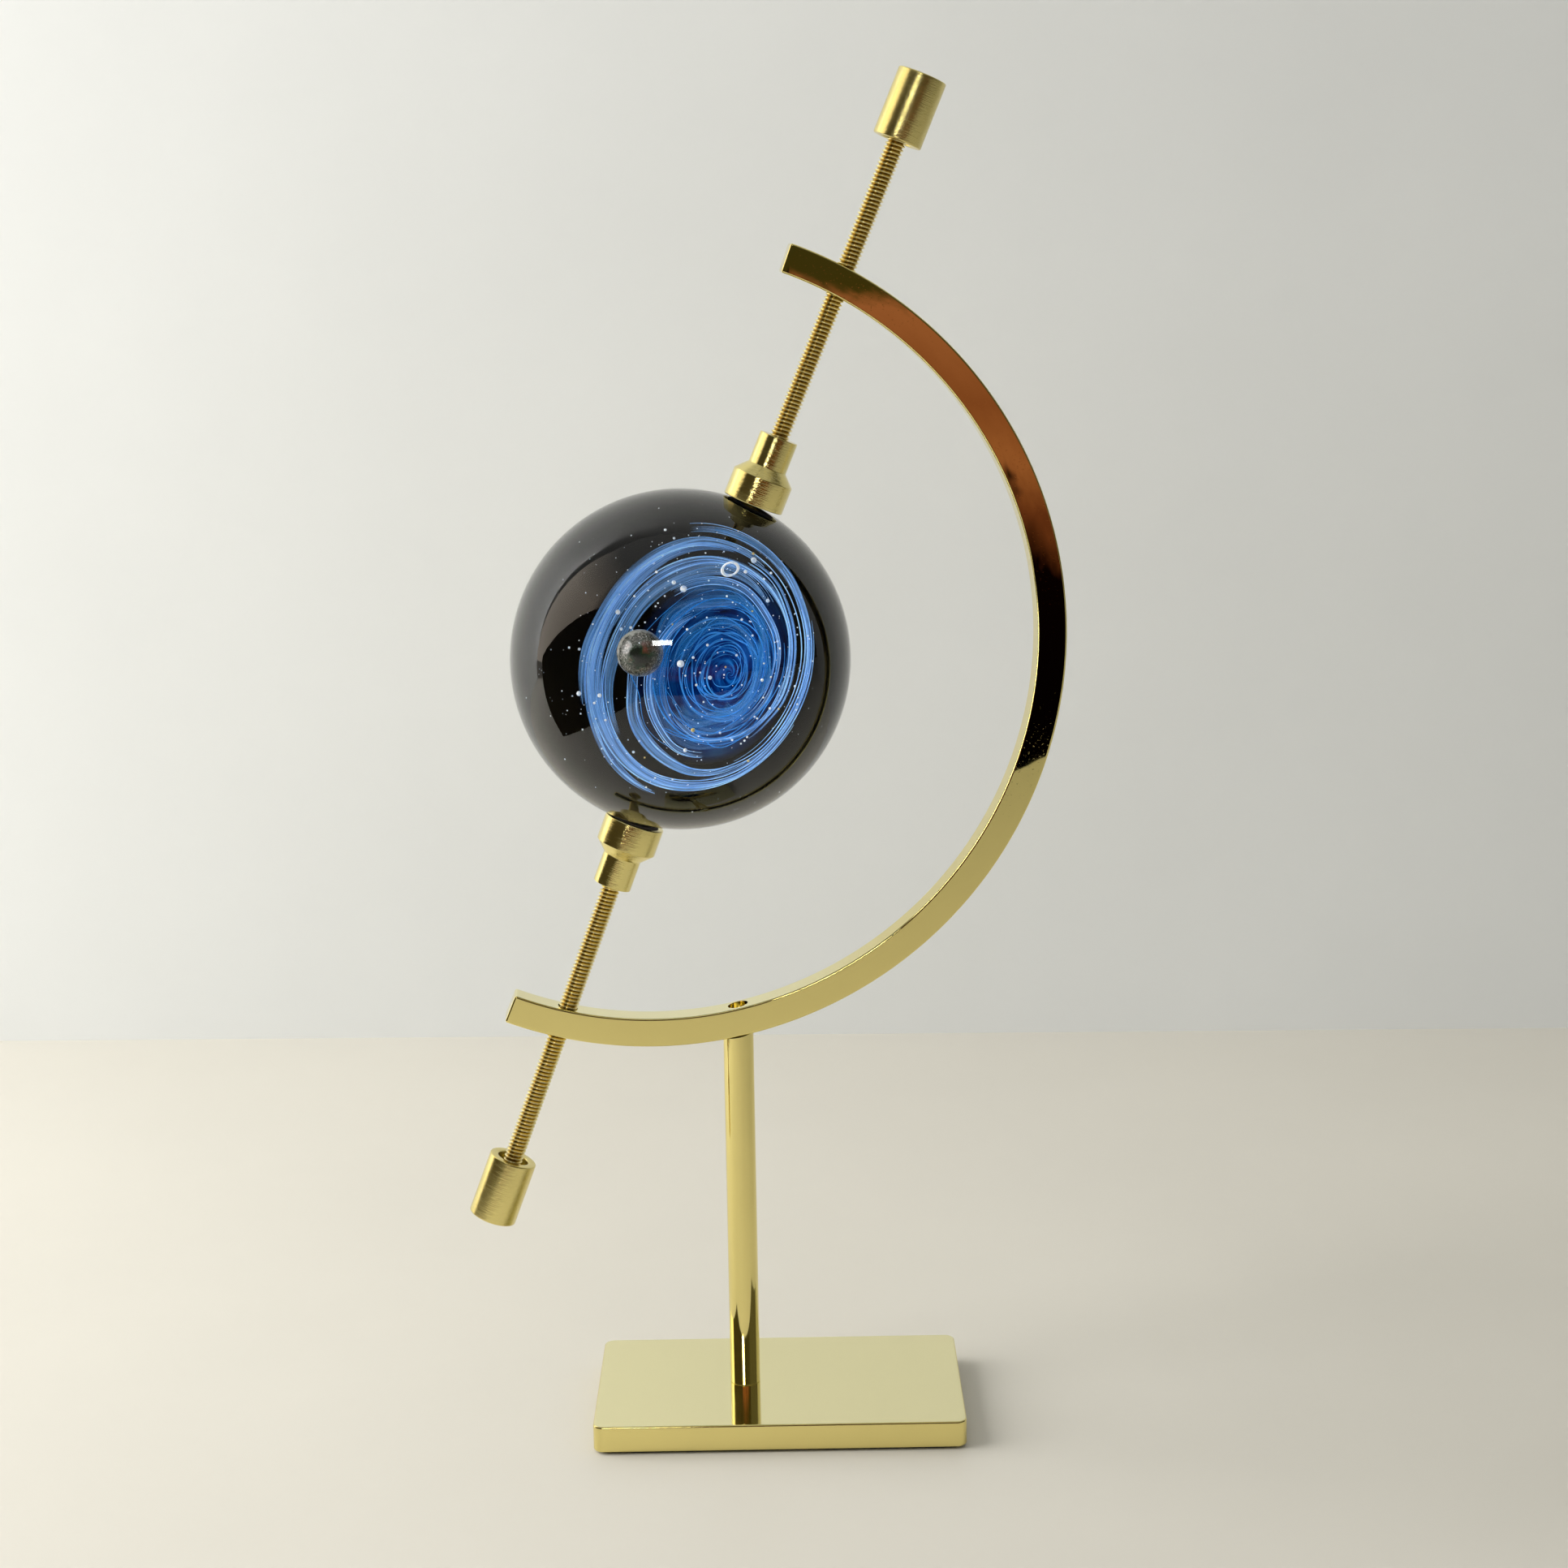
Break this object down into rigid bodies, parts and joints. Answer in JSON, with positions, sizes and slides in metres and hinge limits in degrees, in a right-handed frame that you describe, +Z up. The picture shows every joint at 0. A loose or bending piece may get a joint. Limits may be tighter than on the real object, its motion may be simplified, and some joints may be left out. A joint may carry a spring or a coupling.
{
  "type": "desktop globe on stand",
  "caption": "Desk globe: a glass galaxy marble held on a tilted axis between threaded brass clamps in a half-circle bar on a post and plate.",
  "frame": {"origin": "middle of the base's underside, on the table", "axes": "+X to the right along the plate's long side, +Y away from the viewer, +Z up"},
  "size_m": [0.099, 0.0545, 0.2201],
  "materials": {
    "brass_polished": "bright polished pale brass plating",
    "brass_turned": "satin, fine turning marks around the axis",
    "brass_threaded": "cut thread, yellower than the plating",
    "base_felt": "thin black felt",
    "seat_rubber": "dark matte ring",
    "glass_clear": "clear polished glass",
    "glass_dark": "near black polished glass",
    "glass_swirl": "blue ribbons in a spiral, with fine bubbles",
    "opal": "small opal ball, speckled green, grey and red"
  },
  "bodies": {
    "stand": {"base_plate": "brass_polished", "base_felt": "base_felt", "base_screw": "brass_turned", "post": "brass_polished", "post_stud": "brass_threaded", "half_circle_bar": "brass_polished"},
    "marble": {"marble_lens": "glass_clear", "marble_backing": "glass_dark", "galaxy_swirl": "glass_swirl", "opal": "opal"},
    "upper_clamp": {"upper_cup": "brass_turned", "upper_seat_ring": "seat_rubber"},
    "upper_spindle": {"upper_rod": "brass_threaded", "upper_cup_retainer": "brass_turned", "upper_knob": "brass_turned"},
    "lower_clamp": {"lower_cup": "brass_turned", "lower_seat_ring": "seat_rubber"},
    "lower_spindle": {"lower_rod": "brass_threaded", "lower_cup_retainer": "brass_turned", "lower_knob": "brass_turned"}
  },
  "joints": [
    {"name": "upper_clamp_feed", "type": "slide", "parent": "stand", "child": "upper_clamp", "axis": [0.3863, 0.0311, 0.9219], "range_m": [0, 0.02286]},
    {"name": "upper_knob_turn", "type": "hinge", "parent": "upper_clamp", "child": "upper_spindle", "pos_m": [-0.01236, -0.00053, 0.1281], "axis": [0.3863, 0.0311, 0.9219], "range_deg": [0, 12961]},
    {"name": "lower_clamp_feed", "type": "slide", "parent": "stand", "child": "lower_clamp", "axis": [-0.3572, -0.0287, -0.9336], "range_m": [0, 0.02032]},
    {"name": "lower_knob_turn", "type": "hinge", "parent": "lower_clamp", "child": "lower_spindle", "pos_m": [-0.01201, -0.0005, 0.12802], "axis": [-0.3572, -0.0287, -0.9336], "range_deg": [0, 11521]},
    {"name": "marble_spin", "type": "hinge", "parent": "stand", "child": "marble", "pos_m": [-0.01377, -0.00064, 0.1287], "axis": [0.3718, 0.0299, 0.9278], "continuous": true}
  ],
  "couplings": [
    {"joint": "upper_knob_turn", "follows": "upper_clamp_feed", "rad_per_m": 9894.8},
    {"joint": "lower_knob_turn", "follows": "lower_clamp_feed", "rad_per_m": 9894.8}
  ]
}
